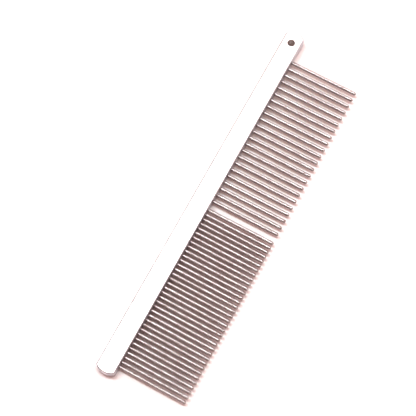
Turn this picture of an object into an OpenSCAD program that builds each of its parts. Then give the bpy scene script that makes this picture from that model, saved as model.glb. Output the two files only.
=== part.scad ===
// Steel grooming comb. A solid flat bar carries two rows of straight round pins,
// widely spaced on one half and closely spaced on the other.
//
// X runs along the bar towards its hanging hole, the pins point towards -Y, and the
// comb lies on a flat face with +Z up. The origin is at the middle of the comb's
// outline, on the surface that it lies on. All sizes are in millimetres.

/* [Bar] */
// Width of the bar, across the comb
bar_width = 9.5; // [8.5:0.1:12]
// Thickness of the bar
bar_thickness = 6.35; // [5:0.05:8]
// Radius of the arc at each end of the bar, seen from above
end_radius = 7.5; // [7.2:0.1:20]
// Radius that softens the bar's edges
edge_radius = 0.8; // [0.1:0.05:0.8]
// Distance from the end with the hole to the first coarse tooth
hole_end_margin = 14.2; // [12:0.1:30]
// Distance from the last fine tooth to the plain end
plain_end_margin = 6.1; // [4.5:0.1:15]

/* [Hanging hole] */
// Diameter of the hole
hole_diameter = 3.5; // [2:0.1:4.5]
// Distance from the end of the bar to the middle of the hole
hole_inset = 6.2; // [5:0.1:7.5]
// Width of the bevel round each mouth of the hole
hole_bevel = 0.15; // [0.1:0.05:0.5]

/* [Teeth] */
// Length of a tooth that stands out of the bar
tooth_reach = 35; // [20:0.5:60]
// Depth to which a tooth is pressed into the bar
tooth_depth = 6; // [3:0.5:7]
// Distance between the two rows, from the last coarse tooth to the first fine one
row_gap = 4.9; // [3:0.1:10]

/* [Coarse row] */
// Number of coarse teeth
coarse_count = 23; // [2:1:24]
// Distance from one coarse tooth to the next
coarse_pitch = 3.65; // [2.5:0.05:6]
// Diameter of a coarse tooth
coarse_diameter = 1.6; // [1:0.05:2]

/* [Fine row] */
// Number of fine teeth
fine_count = 35; // [2:1:35]
// Distance from one fine tooth to the next
fine_pitch = 2.5; // [1.8:0.05:4]
// Diameter of a fine tooth
fine_diameter = 1.55; // [0.8:0.05:1.6]

/* [Hidden] */
$fn = 64;

// Names of the nodes, with two-digit numbers counted from the end with the hole
function numbered(name, i) = str(name, i < 10 ? "0" : "", i);
coarse_names = [for (i = [1 : coarse_count]) numbered("coarse_tooth_", i)];
fine_names = [for (i = [1 : fine_count]) numbered("fine_tooth_", i)];

// Lengths along the bar
coarse_span = coarse_pitch * (coarse_count - 1);
fine_span = fine_pitch * (fine_count - 1);
bar_length = hole_end_margin + coarse_span + row_gap + fine_span + plain_end_margin;

// Places on the bar
comb_width = bar_width + tooth_reach;
hole_end_x = bar_length / 2;
plain_end_x = -bar_length / 2;
bar_middle_y = (comb_width - bar_width) / 2;
tooth_wall_y = bar_middle_y - bar_width / 2;
tooth_z = bar_thickness / 2;

// A little more than a cut needs, so that it runs past the face it opens
past = 1;

function coarse_x(i) = hole_end_x - hole_end_margin - coarse_pitch * (i - 1);
function fine_x(i) = coarse_x(coarse_count) - row_gap - fine_pitch * (i - 1);

// Rectangle with its lower left corner at the origin and four rounded corners
module rounded_rectangle(width, height, radius) {
    translate([radius, 0])
        square([width - 2 * radius, height]);
    translate([0, radius])
        square([width, height - 2 * radius]);
    for (x = [radius, width - radius], y = [radius, height - radius])
        translate([x, y])
            circle(radius);
}

// Straight bar with softened long edges and square ends
module square_bar() {
    translate([plain_end_x, tooth_wall_y, 0])
        rotate([90, 0, 90])
            linear_extrude(bar_length)
                rounded_rectangle(bar_width, bar_thickness, edge_radius);
}

// Flat disc with a softened rim, which rounds one end of the bar
module end_disc(x) {
    translate([x, bar_middle_y, 0])
        rotate_extrude() {
            square([end_radius - edge_radius, bar_thickness]);
            translate([0, edge_radius])
                square([end_radius, bar_thickness - 2 * edge_radius]);
            for (z = [edge_radius, bar_thickness - edge_radius])
                translate([end_radius - edge_radius, z])
                    circle(edge_radius);
        }
}

// Length of the bar with both end discs, wider than the bar itself
module end_shape() {
    disc_x = hole_end_x - end_radius;
    end_disc(disc_x);
    end_disc(-disc_x);
    translate([-disc_x, bar_middle_y - end_radius, 0])
        cube([2 * disc_x, 2 * end_radius, bar_thickness]);
}

// Through hole for hanging the comb, bevelled at both mouths
module hanging_hole() {
    radius = hole_diameter / 2;
    translate([hole_end_x - hole_inset, bar_middle_y, 0]) {
        translate([0, 0, -past])
            cylinder(h = bar_thickness + 2 * past, r = radius);
        for (flip = [0, 1])
            translate([0, 0, flip * bar_thickness])
                mirror([0, 0, flip])
                    cylinder(h = hole_bevel, r1 = radius + hole_bevel, r2 = radius);
    }
}

// Blind hole in the bar for one tooth
module tooth_socket(x, diameter) {
    translate([x, tooth_wall_y + tooth_depth, tooth_z])
        rotate([90, 0, 0])
            cylinder(h = tooth_depth + past, d = diameter);
}

// Straight pin with a round tip, from the floor of its socket to its tip
module tooth(x, diameter) {
    radius = diameter / 2;
    straight = tooth_depth + tooth_reach - radius;
    translate([x, tooth_wall_y + tooth_depth, tooth_z])
        rotate([90, 0, 0])
            rotate_extrude() {
                square([radius, straight]);
                translate([0, straight])
                    intersection() {
                        circle(radius);
                        square(radius);
                    }
            }
}

module spine() {
    color([0.87, 0.86, 0.85])
        difference() {
            intersection() {
                square_bar();
                end_shape();
            }
            hanging_hole();
            for (i = [1 : coarse_count])
                tooth_socket(coarse_x(i), coarse_diameter);
            for (i = [1 : fine_count])
                tooth_socket(fine_x(i), fine_diameter);
        }
}

module coarse_tooth(i) {
    color([0.72, 0.7, 0.69])
        tooth(coarse_x(i), coarse_diameter);
}

module fine_tooth(i) {
    color([0.66, 0.63, 0.61])
        tooth(fine_x(i), fine_diameter);
}

spine();
for (i = [1 : coarse_count])
    coarse_tooth(i);
for (i = [1 : fine_count])
    fine_tooth(i);
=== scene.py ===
import math

import bmesh
import bpy
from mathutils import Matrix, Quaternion, Vector


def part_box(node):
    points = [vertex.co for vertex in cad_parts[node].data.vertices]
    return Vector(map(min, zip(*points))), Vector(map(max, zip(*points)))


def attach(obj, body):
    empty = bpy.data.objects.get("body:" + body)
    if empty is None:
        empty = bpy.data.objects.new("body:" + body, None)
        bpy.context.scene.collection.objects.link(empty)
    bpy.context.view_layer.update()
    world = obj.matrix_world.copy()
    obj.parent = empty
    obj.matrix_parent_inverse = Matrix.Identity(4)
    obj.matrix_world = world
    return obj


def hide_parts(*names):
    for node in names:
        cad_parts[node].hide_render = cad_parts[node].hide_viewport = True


# A steel grooming comb: a flat bar with a hanging hole, and 58 round steel teeth pressed
# into one of its long walls. Lengths are in metres unless a comment says otherwise.

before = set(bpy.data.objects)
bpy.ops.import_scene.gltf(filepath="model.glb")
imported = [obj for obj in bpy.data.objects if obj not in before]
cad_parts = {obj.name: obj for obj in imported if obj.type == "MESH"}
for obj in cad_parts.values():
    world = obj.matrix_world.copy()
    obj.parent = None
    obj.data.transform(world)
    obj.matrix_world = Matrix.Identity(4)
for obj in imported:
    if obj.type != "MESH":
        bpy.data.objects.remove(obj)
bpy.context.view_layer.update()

MM = 0.001

# ---------------------------------------------------------------- sizes

BAR_LOW, BAR_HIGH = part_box("spine")
BAR_THICKNESS = BAR_HIGH.z - BAR_LOW.z
BAR_HALF_WIDTH = (BAR_HIGH.y - BAR_LOW.y) / 2
BAR_HALF_LENGTH = (BAR_HIGH.x - BAR_LOW.x) / 2
BAR_MIDDLE_Y = (BAR_HIGH.y + BAR_LOW.y) / 2
TOOTH_WALL_Y = BAR_LOW.y
TOOTH_Z = BAR_THICKNESS / 2

END_RADIUS = 7.5 * MM
CORNER_RADIUS = 0.9 * MM
EDGE_RADIUS = 0.8 * MM
HOLE_RADIUS = 1.75 * MM
HOLE_INSET = 6.2 * MM
HOLE_BEVEL = 0.15 * MM
HOLE_X = BAR_HIGH.x - HOLE_INSET

COARSE_RADIUS = 0.8 * MM
FINE_RADIUS = 0.775 * MM
SOCKET_BEVEL = 0.1 * MM
SOCKET_CLEARANCE = 0.02 * MM

# Only the mouth of a socket can be seen, so it ends here and the tooth runs on inside the bar
SOCKET_DEPTH = 1.2 * MM

# The bevel round a tooth's inner end, as a part of its radius
TOOTH_BEVEL = 0.15

# How finely the round shapes are divided
ROUND_STEPS = 6
CORNER_STEPS = 6
END_STEPS = 18
HOLE_STEPS = 48
SOCKET_SIDES = 24
TOOTH_SIDES = 24
TOOTH_RUNS = 6
TIP_STEPS = 8

# Points nearer than this are one point, and edges sharper than this stay sharp
MERGE_DISTANCE = 1e-7
SHARP_ANGLE = math.radians(35)

# The highest weight, which makes the largest faces set the normals at their corners
NORMAL_WEIGHT = 100

COARSE = sorted(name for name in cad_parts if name.startswith("coarse_tooth"))
FINE = sorted(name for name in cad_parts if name.startswith("fine_tooth"))


# ---------------------------------------------------------------- finishes

FACE_COLOUR = (0.80, 0.785, 0.775)
FACE_STREAK_COLOUR = (0.84, 0.825, 0.81)
END_WALL_COLOUR = (0.80, 0.79, 0.82)
# Painted shade: the long walls and the rounded long edges are coloured darker than the faces and end
# walls
LONG_WALL_SHADE_COLOUR = (0.57, 0.57, 0.60)
WORN_COLOUR = (0.72, 0.68, 0.66)
BORE_COLOUR = (0.70, 0.60, 0.57)
FACE_ROUGHNESS = 0.42
WALL_ROUGHNESS = 0.38

# What smudges, the grain and scratches add to the bar's roughness
SMUDGE_ROUGHNESS = (-0.04, 0.05)
GRAIN_ROUGHNESS = (-0.03, 0.03)
SCRATCH_ROUGHNESS = 0.12

# How much of the worn colour shows, how high the grain stands beside the depth of a
# scratch, and how far past the hole's rim the colour of its wall fades out
WEAR_STRENGTH = 0.5
GRAIN_HEIGHT = 0.5
BORE_FADE = 0.1 * MM

# Feature sizes along X, Y and Z, and the depth of the bar's grain
GRAIN_SIZE = (9 * MM, 0.22 * MM, 0.22 * MM)
FACE_SMUDGE_SIZE = (14 * MM, 6 * MM, 6 * MM)
LONG_SCRATCH_SIZE = (12 * MM, 0.12 * MM, 1 * MM)
SLANT_SCRATCH_SIZE = (7 * MM, 0.1 * MM, 1 * MM)
GRAIN_DEPTH = 0.003 * MM

# The noise values between which a scratch, wear or a smudge grows from nothing to full
LONG_SCRATCHES = (0.70, 0.74)
SLANT_SCRATCHES = (0.72, 0.75)
WEAR_PATCHES = (0.45, 0.62)
FACE_SMUDGES = (0.35, 0.7)
TOOTH_SMUDGES = (0.4, 0.7)

# How far a surface faces up or down where a wall turns into a face, and how far it
# faces along Y where an end wall turns into a long wall. The rounded edges fall among the
# walls, so the long walls and the rounded long edges take the painted shade colour.
WALL_TO_FACE = (0.75, 0.998)
END_TO_LONG_WALL = (0.1, 0.3)

TOOTH_DARK_COLOUR = (0.39, 0.36, 0.35)
TOOTH_LIGHT_COLOUR = (0.47, 0.44, 0.43)
# Painted shade: the teeth are coloured darker where they enter the bar
ROOT_SHADE_COLOUR = (0.30, 0.26, 0.25)
ROOT_SHADE_STRENGTH = 0.3
TOOTH_ROUGHNESS = 0.19

# What rings, smudges and the root change in a tooth's roughness, and how high the rings
# and the streaks stand
RING_ROUGHNESS = 0.03
TOOTH_SMUDGE_ROUGHNESS = 0.06
ROOT_ROUGHNESS = 0.1
RING_HEIGHT = 0.4
STREAK_HEIGHT = 0.5

# Feature sizes along X, Y and Z, the depth of the rings round a tooth, and how far its
# dull root with painted shade reaches out of the bar
RING_SIZE = (5 * MM, 0.16 * MM, 5 * MM)
STREAK_SIZE = (0.25 * MM, 12 * MM, 0.25 * MM)
BATCH_SIZE = (2.1 * MM, 400 * MM, 400 * MM)
TOOTH_SMUDGE_SIZE = (5 * MM, 5 * MM, 5 * MM)
RING_DEPTH = 0.0007 * MM
ROOT_LENGTH = 1.2 * MM

FLOOR_COLOUR = (0.93, 0.88, 0.86)
FLOOR_SHADE = (0.915, 0.865, 0.845)
FLOOR_ROUGHNESS = 0.9
FLOOR_SPECULAR = 0.1
CLOUD_SIZE = (60 * MM, 60 * MM, 60 * MM)
FIBRE_SIZE = (0.4 * MM, 0.4 * MM, 0.4 * MM)
FIBRE_DEPTH = 0.02 * MM

# The noise values that a colour or a roughness follows, held level outside them
NOISE_RANGE = (0.3, 0.7)


# ---------------------------------------------------------------- small helpers


def new_object(name, mesh):
    """Puts a mesh in the scene as an object of its own."""
    thing = bpy.data.objects.new(name, mesh)
    bpy.context.scene.collection.objects.link(thing)
    return thing


def mesh_from(name, bm):
    """Turns a bmesh into a mesh with outward normals, smooth except at its sharp edges."""
    bmesh.ops.remove_doubles(bm, verts=bm.verts, dist=MERGE_DISTANCE)
    bmesh.ops.recalc_face_normals(bm, faces=bm.faces)
    for face in bm.faces:
        face.smooth = True
    for edge in bm.edges:
        edge.smooth = not edge.is_manifold or edge.calc_face_angle() < SHARP_ANGLE
    mesh = bpy.data.meshes.new(name)
    bm.to_mesh(mesh)
    bm.free()
    return mesh


def weight_normals(thing):
    """Makes flat faces shade flat next to their rounded edges."""
    modifier = thing.modifiers.new("weighted_normals", "WEIGHTED_NORMAL")
    modifier.keep_sharp = True
    modifier.weight = NORMAL_WEIGHT


def tooth_place(name):
    """The X of a tooth's axis and the Y of its inner end and its tip."""
    low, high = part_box(name)
    return (low.x + high.x) / 2, high.y, low.y


# ---------------------------------------------------------------- spine


def end_outline(inset):
    """Half of the outline of one end, from the middle of its arc to its straight side.

    The end lies towards +X and the side towards +Y of the bar's middle. inset moves
    the outline inwards, which makes the rounded edge.
    """
    arc = END_RADIUS - inset
    corner = CORNER_RADIUS - inset
    disc_x = BAR_HALF_LENGTH - END_RADIUS
    corner_y = BAR_HALF_WIDTH - CORNER_RADIUS
    corner_x = math.sqrt((END_RADIUS - CORNER_RADIUS) ** 2 - corner_y**2)
    meet = math.atan2(corner_y, corner_x)
    points = []
    for step in range(END_STEPS):
        turn = meet * step / END_STEPS
        points.append((disc_x + arc * math.cos(turn), arc * math.sin(turn)))
    for step in range(CORNER_STEPS + 1):
        turn = meet + (math.pi / 2 - meet) * step / CORNER_STEPS
        x = disc_x + corner_x + corner * math.cos(turn)
        points.append((x, corner_y + corner * math.sin(turn)))
    return points


def cell_edges():
    """The X where one tooth's piece of wall meets the next, from -X to +X."""
    middles = sorted(tooth_place(name)[0] for name in COARSE + FINE)
    between = [(a + b) / 2 for a, b in zip(middles, middles[1:])]
    first = middles[0] - (between[0] - middles[0])
    last = middles[-1] + (middles[-1] - between[-1])
    return [first] + between + [last]


def outline(inset):
    """The bar's outline seen from above, anticlockwise, in the comb's own frame."""
    quarter = end_outline(inset)
    stations = cell_edges()
    side = BAR_HALF_WIDTH - inset
    points = [(x, -y) for x, y in reversed(quarter[1:])]
    points += quarter
    points += [(x, side) for x in reversed(stations)]
    points += [(-x, y) for x, y in reversed(quarter[1:])]
    points += [(-x, -y) for x, y in quarter]
    points += [(x, -side) for x in stations]
    return [Vector((x, y + BAR_MIDDLE_Y, 0)) for x, y in points]


def edge_rings():
    """Pairs of inset and height that lead round the bar's rounded edges, bottom to top."""
    turns = [math.pi / 2 * step / ROUND_STEPS for step in range(ROUND_STEPS + 1)]
    low = [(1 - math.sin(turn), 1 - math.cos(turn)) for turn in turns]
    rings = [(inset * EDGE_RADIUS, rise * EDGE_RADIUS) for inset, rise in low]
    return rings + [(inset, BAR_THICKNESS - z) for inset, z in reversed(rings)]


def add_ring(bm, points, z):
    """Vertices at the given points, all at one height."""
    return [bm.verts.new((p.x, p.y, z)) for p in points]


def circle(x, y, radius, sides):
    """Points evenly spaced round a circle, anticlockwise seen from above."""
    turns = [2 * math.pi * step / sides for step in range(sides)]
    return [Vector((x + radius * math.cos(t), y + radius * math.sin(t), 0)) for t in turns]


def join_rings(bm, one, other, skip=()):
    """Quads between two closed rings with the same number of points."""
    count = len(one)
    for i in range(count):
        j = (i + 1) % count
        if i not in skip:
            bm.faces.new((one[i], one[j], other[j], other[i]))


def close_face(bm, outer, inner):
    """Fills a flat face round the hanging hole with two faces that meet on the bar's middle."""
    right = outer.index(max(outer, key=lambda vert: vert.co.x))
    left = outer.index(min(outer, key=lambda vert: vert.co.x))
    half = len(inner) // 2
    bm.faces.new(outer[right : left + 1] + inner[half::-1])
    bm.faces.new(outer[left:] + outer[: right + 1] + inner[:1] + inner[:half - 1 : -1])


def add_hole(bm):
    """The wall of the hanging hole and its bevels. Returns its lowest and highest ring."""
    mouth = HOLE_RADIUS + HOLE_BEVEL
    levels = [
        (mouth, 0),
        (HOLE_RADIUS, HOLE_BEVEL),
        (HOLE_RADIUS, BAR_THICKNESS - HOLE_BEVEL),
        (mouth, BAR_THICKNESS),
    ]
    rings = [add_ring(bm, circle(HOLE_X, BAR_MIDDLE_Y, r, HOLE_STEPS), z) for r, z in levels]
    for one, other in zip(rings, rings[1:]):
        join_rings(bm, one, other)
    return rings[0], rings[-1]


def add_socket(bm, x, radius, corners):
    """One tooth's piece of wall: four corners of flat wall round a bevelled blind socket."""
    levels = [
        (radius + SOCKET_CLEARANCE + SOCKET_BEVEL, 0),
        (radius + SOCKET_CLEARANCE, SOCKET_BEVEL),
        (radius + SOCKET_CLEARANCE, SOCKET_DEPTH),
    ]
    rings = []
    for size, depth in levels:
        ring = []
        for step in range(SOCKET_SIDES):
            turn = 2 * math.pi * (step + 0.5) / SOCKET_SIDES
            place = (x + size * math.cos(turn), TOOTH_WALL_Y + depth, TOOTH_Z + size * math.sin(turn))
            ring.append(bm.verts.new(place))
        rings.append(ring)
    for one, other in zip(rings, rings[1:]):
        join_rings(bm, one, other)
    bm.faces.new(rings[-1])
    quarter = SOCKET_SIDES // 4
    mouth = rings[0]
    for side, corner in enumerate(corners):
        first = side * quarter
        for step in range(first, first + quarter - 1):
            bm.faces.new((mouth[step], mouth[step + 1], corner))
        last = first + quarter - 1
        after = (last + 1) % SOCKET_SIDES
        bm.faces.new((mouth[last], mouth[after], corners[(side + 1) % len(corners)], corner))


def make_spine():
    """The bar: rolled edges, the hanging hole, and a wall of sockets towards -Y."""
    bm = bmesh.new()
    rings = [add_ring(bm, outline(inset), z) for inset, z in edge_rings()]
    stations = cell_edges()
    count = len(rings[0])
    first = count - len(stations)
    wall_cells = range(first, count - 1)
    wall = ROUND_STEPS
    for level, (one, other) in enumerate(zip(rings, rings[1:])):
        join_rings(bm, one, other, wall_cells if level == wall else ())
    low, high = rings[wall], rings[wall + 1]
    teeth = sorted((tooth_place(name)[0], name) for name in COARSE + FINE)
    for i, (x, name) in zip(wall_cells, teeth):
        radius = COARSE_RADIUS if name in COARSE else FINE_RADIUS
        corners = (high[i + 1], high[i], low[i], low[i + 1])
        add_socket(bm, x, radius, corners)
    hole_low, hole_high = add_hole(bm)
    close_face(bm, rings[0], hole_low)
    close_face(bm, rings[-1], hole_high)
    spine = new_object("spine_bar", mesh_from("spine_bar", bm))
    weight_normals(spine)
    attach(spine, "root")
    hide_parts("spine")
    return spine


# ---------------------------------------------------------------- teeth


def tooth_profile(radius, length):
    """Radius and distance along a tooth, from its inner end to its round tip."""
    bevel = TOOTH_BEVEL * radius
    points = [(0, 0), (radius - bevel, 0), (radius, bevel)]
    straight = length - radius
    for step in range(1, TOOTH_RUNS + 1):
        points.append((radius, bevel + (straight - bevel) * step / TOOTH_RUNS))
    for step in range(1, TIP_STEPS):
        turn = math.pi / 2 * step / TIP_STEPS
        points.append((radius * math.cos(turn), straight + radius * math.sin(turn)))
    return points + [(0, length)]


def make_tooth(name, radius):
    """One round pin along Y, from its inner end in the bar to its tip."""
    x, inner_y, tip_y = tooth_place(name)
    bm = bmesh.new()
    rings = []
    for size, along in tooth_profile(radius, inner_y - tip_y):
        y = inner_y - along
        if size == 0:
            rings.append([bm.verts.new((x, y, TOOTH_Z))])
            continue
        turns = [2 * math.pi * step / TOOTH_SIDES for step in range(TOOTH_SIDES)]
        ring = [(x + size * math.cos(t), y, TOOTH_Z + size * math.sin(t)) for t in turns]
        rings.append([bm.verts.new(place) for place in ring])
    for one, other in zip(rings, rings[1:]):
        if len(one) == 1 or len(other) == 1:
            tip, ring = (one[0], other) if len(one) == 1 else (other[0], one)
            for i, vert in enumerate(ring):
                bm.faces.new((vert, ring[(i + 1) % len(ring)], tip))
        else:
            join_rings(bm, one, other)
    piece = new_object(name + "_pin", mesh_from(name + "_pin", bm))
    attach(piece, "root")
    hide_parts(name)
    return piece


# ---------------------------------------------------------------- materials


class Material:
    """A node material with one principled shader, and short calls that add nodes to it."""

    def __init__(self, name):
        self.data = bpy.data.materials.new(name)
        self.data.use_nodes = True
        self.data.node_tree.nodes.clear()
        output = self.node("OutputMaterial")
        self.shader = self.node("BsdfPrincipled")
        self.link(self.shader.outputs["BSDF"], output.inputs["Surface"])
        self.place = self.node("TexCoord").outputs["Object"]

    def node(self, kind, **settings):
        """Adds a shader node with the given settings."""
        node = self.data.node_tree.nodes.new("ShaderNode" + kind)
        for key, value in settings.items():
            setattr(node, key, value)
        return node

    def link(self, source, target):
        """Feeds a socket from another socket, or gives it a constant."""
        if isinstance(source, bpy.types.NodeSocket):
            self.data.node_tree.links.new(source, target)
        else:
            target.default_value = source

    def math(self, operation, a, b=0.0, clamp=False):
        """The result of one Math operation."""
        node = self.node("Math", operation=operation, use_clamp=clamp)
        self.link(a, node.inputs[0])
        self.link(b, node.inputs[1])
        return node.outputs["Value"]

    def noise(self, stretch, detail=2.0, turn=0.0):
        """Noise with a feature size in metres along each axis, turned about Z in degrees."""
        mapping = self.node("Mapping", vector_type="TEXTURE")
        mapping.inputs["Rotation"].default_value = (0, 0, math.radians(turn))
        mapping.inputs["Scale"].default_value = stretch
        self.link(self.place, mapping.inputs["Vector"])
        noise = self.node("TexNoise")
        noise.inputs["Scale"].default_value = 1
        noise.inputs["Detail"].default_value = detail
        self.link(mapping.outputs["Vector"], noise.inputs["Vector"])
        return noise.outputs["Fac"]

    def ramp(self, value, low, high, to_low=0.0, to_high=1.0):
        """Maps a value from low..high to to_low..to_high, and holds it at both ends."""
        node = self.node("MapRange", interpolation_type="SMOOTHSTEP")
        self.link(value, node.inputs["Value"])
        for name, number in zip(("From Min", "From Max"), (low, high)):
            node.inputs[name].default_value = number
        for name, number in zip(("To Min", "To Max"), (to_low, to_high)):
            node.inputs[name].default_value = number
        return node.outputs["Result"]

    def mix(self, factor, one, other):
        """A colour that goes from one to other."""
        node = self.node("Mix", data_type="RGBA")
        self.link(factor, node.inputs["Factor"])
        for name, colour in (("A", one), ("B", other)):
            socket = [s for s in node.inputs if s.name == name and s.type == "RGBA"][0]
            self.link(colour if isinstance(colour, bpy.types.NodeSocket) else (*colour, 1), socket)
        return [s for s in node.outputs if s.type == "RGBA"][0]

    def axes(self, vector):
        """The X, Y and Z of a vector."""
        node = self.node("SeparateXYZ")
        self.link(vector, node.inputs["Vector"])
        return node.outputs["X"], node.outputs["Y"], node.outputs["Z"]

    def bump(self, height, depth):
        """Raises the surface by up to depth metres where height is 1."""
        node = self.node("Bump")
        node.inputs["Strength"].default_value = 1
        node.inputs["Distance"].default_value = depth
        self.link(height, node.inputs["Height"])
        self.link(node.outputs["Normal"], self.shader.inputs["Normal"])


def spine_material():
    """Plated bar: satin faces with lengthwise grain, painted shade on the long walls and rounded long
    edges, and a raw drilled hole.
    """
    steel = Material("spine_steel")
    steel.shader.inputs["Metallic"].default_value = 1

    grain = steel.noise(GRAIN_SIZE, detail=3)
    smudge = steel.noise(FACE_SMUDGE_SIZE, detail=3, turn=25)
    scratches = steel.math(
        "MAXIMUM",
        steel.ramp(steel.noise(LONG_SCRATCH_SIZE, turn=4), *LONG_SCRATCHES),
        steel.ramp(steel.noise(SLANT_SCRATCH_SIZE, turn=-19), *SLANT_SCRATCHES),
    )

    x, y, _ = steel.axes(steel.place)
    across = steel.math("ABSOLUTE", steel.math("SUBTRACT", y, BAR_MIDDLE_Y))
    near_edge = steel.ramp(across, BAR_HALF_WIDTH - 2 * EDGE_RADIUS, BAR_HALF_WIDTH)
    worn = steel.math("MULTIPLY", near_edge, steel.ramp(smudge, *WEAR_PATCHES))

    normal = steel.node("TexCoord").outputs["Normal"]
    _, faces_y, faces_z = steel.axes(normal)
    wall = steel.ramp(steel.math("ABSOLUTE", faces_z), *WALL_TO_FACE, 1, 0)
    # Painted shade mask: the long walls and their rounded edges
    long_wall_shade = steel.ramp(steel.math("ABSOLUTE", faces_y), *END_TO_LONG_WALL)

    from_hole_x = steel.math("SUBTRACT", x, HOLE_X)
    from_hole_y = steel.math("SUBTRACT", y, BAR_MIDDLE_Y)
    squares = [steel.math("MULTIPLY", side, side) for side in (from_hole_x, from_hole_y)]
    from_hole = steel.math("SQRT", steel.math("ADD", *squares))
    rim = HOLE_RADIUS + HOLE_BEVEL
    bore = steel.math("MULTIPLY", steel.ramp(from_hole, rim, rim + BORE_FADE, 1, 0), wall)

    colour = steel.mix(steel.ramp(grain, *NOISE_RANGE), FACE_COLOUR, FACE_STREAK_COLOUR)
    # Walls take the end wall colour, and the long walls and rounded long edges a painted shade
    colour = steel.mix(wall, colour, steel.mix(long_wall_shade, END_WALL_COLOUR, LONG_WALL_SHADE_COLOUR))
    colour = steel.mix(steel.math("MULTIPLY", worn, WEAR_STRENGTH), colour, WORN_COLOUR)
    colour = steel.mix(bore, colour, BORE_COLOUR)
    steel.link(colour, steel.shader.inputs["Base Color"])

    smooth, dull = [FACE_ROUGHNESS + change for change in SMUDGE_ROUGHNESS]
    rough = steel.ramp(smudge, *FACE_SMUDGES, smooth, dull)
    rough = steel.math("ADD", rough, steel.ramp(grain, *NOISE_RANGE, *GRAIN_ROUGHNESS))
    rough = steel.math("ADD", rough, steel.math("MULTIPLY", wall, WALL_ROUGHNESS - FACE_ROUGHNESS))
    scratched = steel.math("MULTIPLY", scratches, SCRATCH_ROUGHNESS)
    rough = steel.math("ADD", rough, scratched, clamp=True)
    steel.link(rough, steel.shader.inputs["Roughness"])

    height = steel.math("SUBTRACT", steel.math("MULTIPLY", grain, GRAIN_HEIGHT), scratches)
    steel.bump(height, GRAIN_DEPTH)
    return steel.data


def tooth_material():
    """Drawn pin: fine rings round it, faint streaks along it, dull and darkened with painted shade at
    its root.
    """
    steel = Material("tooth_steel")
    steel.shader.inputs["Metallic"].default_value = 1

    rings = steel.noise(RING_SIZE, detail=2)
    streaks = steel.noise(STREAK_SIZE, detail=2)
    batch = steel.noise(BATCH_SIZE, detail=0)
    smudge = steel.noise(TOOTH_SMUDGE_SIZE, detail=3)

    y = steel.axes(steel.place)[1]
    # The tooth's root near the bar: duller, and darkened with painted shade
    root = steel.ramp(y, TOOTH_WALL_Y - ROOT_LENGTH, TOOTH_WALL_Y)
    halves = [steel.ramp(noise, *NOISE_RANGE, 0, 0.5) for noise in (batch, streaks)]
    tone = steel.math("ADD", *halves)
    colour = steel.mix(tone, TOOTH_DARK_COLOUR, TOOTH_LIGHT_COLOUR)
    colour = steel.mix(steel.math("MULTIPLY", root, ROOT_SHADE_STRENGTH), colour, ROOT_SHADE_COLOUR)
    steel.link(colour, steel.shader.inputs["Base Color"])

    smooth, dull = TOOTH_ROUGHNESS - RING_ROUGHNESS, TOOTH_ROUGHNESS + RING_ROUGHNESS
    rough = steel.ramp(rings, *NOISE_RANGE, smooth, dull)
    smudged = steel.ramp(smudge, *TOOTH_SMUDGES, 0, TOOTH_SMUDGE_ROUGHNESS)
    rough = steel.math("ADD", rough, smudged)
    rooted = steel.math("MULTIPLY", root, ROOT_ROUGHNESS)
    rough = steel.math("ADD", rough, rooted, clamp=True)
    steel.link(rough, steel.shader.inputs["Roughness"])

    ring_height = steel.math("MULTIPLY", rings, RING_HEIGHT)
    streak_height = steel.math("MULTIPLY", streaks, STREAK_HEIGHT)
    height = steel.math("ADD", ring_height, streak_height)
    steel.bump(height, RING_DEPTH)
    return steel.data


def floor_material():
    """Matt pale paper with faint clouds and a fine fibre."""
    paper = Material("floor_paper")
    paper.shader.inputs["Roughness"].default_value = FLOOR_ROUGHNESS
    paper.shader.inputs["Specular IOR Level"].default_value = FLOOR_SPECULAR
    cloud = paper.noise(CLOUD_SIZE, detail=3)
    paper.link(paper.mix(cloud, FLOOR_COLOUR, FLOOR_SHADE), paper.shader.inputs["Base Color"])
    paper.bump(paper.noise(FIBRE_SIZE, detail=3), FIBRE_DEPTH)
    return paper.data


# ---------------------------------------------------------------- stage, lights, camera

FLOOR_SIZE = 6.0
FLOOR_CELLS = 8

# The room is a light tent: pale walls all round and a dim ceiling. It turns from one to
# the other between two heights, as sines of the angle above the horizon.
TENT_WALL_COLOUR = (0.80, 0.70, 0.70)
TENT_CEILING_COLOUR = (0.48, 0.265, 0.25)
TENT_FADE = (0.4, 0.6)

# Each softbox hangs level above the comb. Its middle and its size are in metres along X
# and Y, and its turn is in degrees about the vertical.
SOFTBOX_HEIGHT = 1.2
SOFTBOXES = {
    "key_strip": {
        "middle": (0.12, 0.25),
        "size": (0.19, 1.1),
        "turn": 12,
        "radiance": 21.5,
        "colour": (0.84, 0.975, 1.01),
    },
    "side_panel": {
        "middle": (0.85, 0),
        "size": (1.1, 2.4),
        "turn": 0,
        "radiance": 0.85,
        "colour": (1.0, 0.81, 0.79),
    },
    "front_panel": {
        "middle": (0.5, -2.2),
        "size": (2.6, 1.6),
        "turn": 0,
        "radiance": 1.5,
        "colour": (1.0, 0.87, 0.84),
    },
    "low_panel": {
        "middle": (2.2, 0),
        "size": (1.54, 2.4),
        "turn": 0,
        "radiance": 0.6,
        "colour": (1.0, 0.87, 0.84),
    },
}

# The contrast of the rendered tones, below 1 for deeper shadows
CONTRAST_GAMMA = 0.76

# The camera looks at VIEW_AIM from this direction. Angles are in degrees, and the lens and
# the sensor are in millimetres.
VIEW_AZIMUTH = -55.99
VIEW_ELEVATION = 73.75
VIEW_ROLL = 5.46
VIEW_DISTANCE = 0.62
VIEW_AIM = Vector((-3.25, 13.4, 3.2)) * MM
LENS = 113
SENSOR = 36
CLIP_START = 0.01
CLIP_END = 20


def make_floor():
    """The flat surface that the comb lies on."""
    bm = bmesh.new()
    bmesh.ops.create_grid(bm, x_segments=FLOOR_CELLS, y_segments=FLOOR_CELLS, size=FLOOR_SIZE / 2)
    floor = new_object("floor", mesh_from("floor", bm))
    floor.data.materials.append(floor_material())


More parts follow.
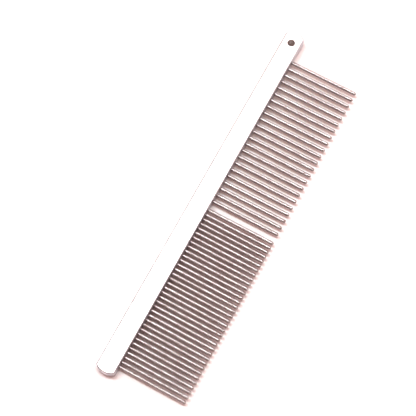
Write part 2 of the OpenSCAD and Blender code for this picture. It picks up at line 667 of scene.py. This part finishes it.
def make_world():
    """The light tent, as a background that changes with height."""
    world = bpy.data.worlds.new("studio")
    world.use_nodes = True
    tree = world.node_tree
    direction = tree.nodes.new("ShaderNodeTexCoord").outputs["Generated"]
    axes = tree.nodes.new("ShaderNodeSeparateXYZ")
    fade = tree.nodes.new("ShaderNodeValToRGB")
    for stop, height, colour in zip(
        fade.color_ramp.elements, TENT_FADE, (TENT_WALL_COLOUR, TENT_CEILING_COLOUR)
    ):
        stop.position = height
        stop.color = (*colour, 1)
    tree.links.new(direction, axes.inputs["Vector"])
    tree.links.new(axes.outputs["Z"], fade.inputs["Fac"])
    tree.links.new(fade.outputs["Color"], tree.nodes["Background"].inputs["Color"])
    bpy.context.scene.world = world


def make_softbox(name, middle, size, turn, radiance, colour):
    """A rectangular light that shines straight down with the given radiance."""
    data = bpy.data.lights.new(name, "AREA")
    data.shape = "RECTANGLE"
    data.size, data.size_y = size
    data.energy = radiance * math.pi * data.size * data.size_y
    data.color = colour
    light = bpy.data.objects.new(name, data)
    light.location = VIEW_AIM + Vector((*middle, SOFTBOX_HEIGHT))
    light.rotation_euler = (0, 0, math.radians(turn))
    bpy.context.scene.collection.objects.link(light)


def make_camera():
    """The camera, turned about its line of sight by VIEW_ROLL."""
    data = bpy.data.cameras.new("camera")
    data.lens = LENS
    data.sensor_width = SENSOR
    data.clip_start = CLIP_START
    data.clip_end = CLIP_END
    camera = bpy.data.objects.new("camera", data)
    azimuth, elevation = math.radians(VIEW_AZIMUTH), math.radians(VIEW_ELEVATION)
    level = math.cos(elevation)
    back = Vector((math.sin(azimuth) * level, -math.cos(azimuth) * level, math.sin(elevation)))
    camera.location = VIEW_AIM + back * VIEW_DISTANCE
    camera.rotation_mode = "QUATERNION"
    roll = Quaternion(back, math.radians(-VIEW_ROLL))
    camera.rotation_quaternion = roll @ (-back).to_track_quat("-Z", "Y")
    bpy.context.scene.collection.objects.link(camera)
    bpy.context.scene.camera = camera


# ---------------------------------------------------------------- the comb

spine_steel = spine_material()
tooth_steel = tooth_material()

spine = make_spine()
spine.data.materials.append(spine_steel)
for tooth_name in COARSE + FINE:
    tooth_radius = COARSE_RADIUS if tooth_name in COARSE else FINE_RADIUS
    tooth = make_tooth(tooth_name, tooth_radius)
    tooth.data.materials.append(tooth_steel)

make_floor()
make_world()
for softbox_name, settings in SOFTBOXES.items():
    make_softbox(softbox_name, **settings)
make_camera()
bpy.context.scene.view_settings.view_transform = "Standard"
bpy.context.scene.view_settings.gamma = CONTRAST_GAMMA
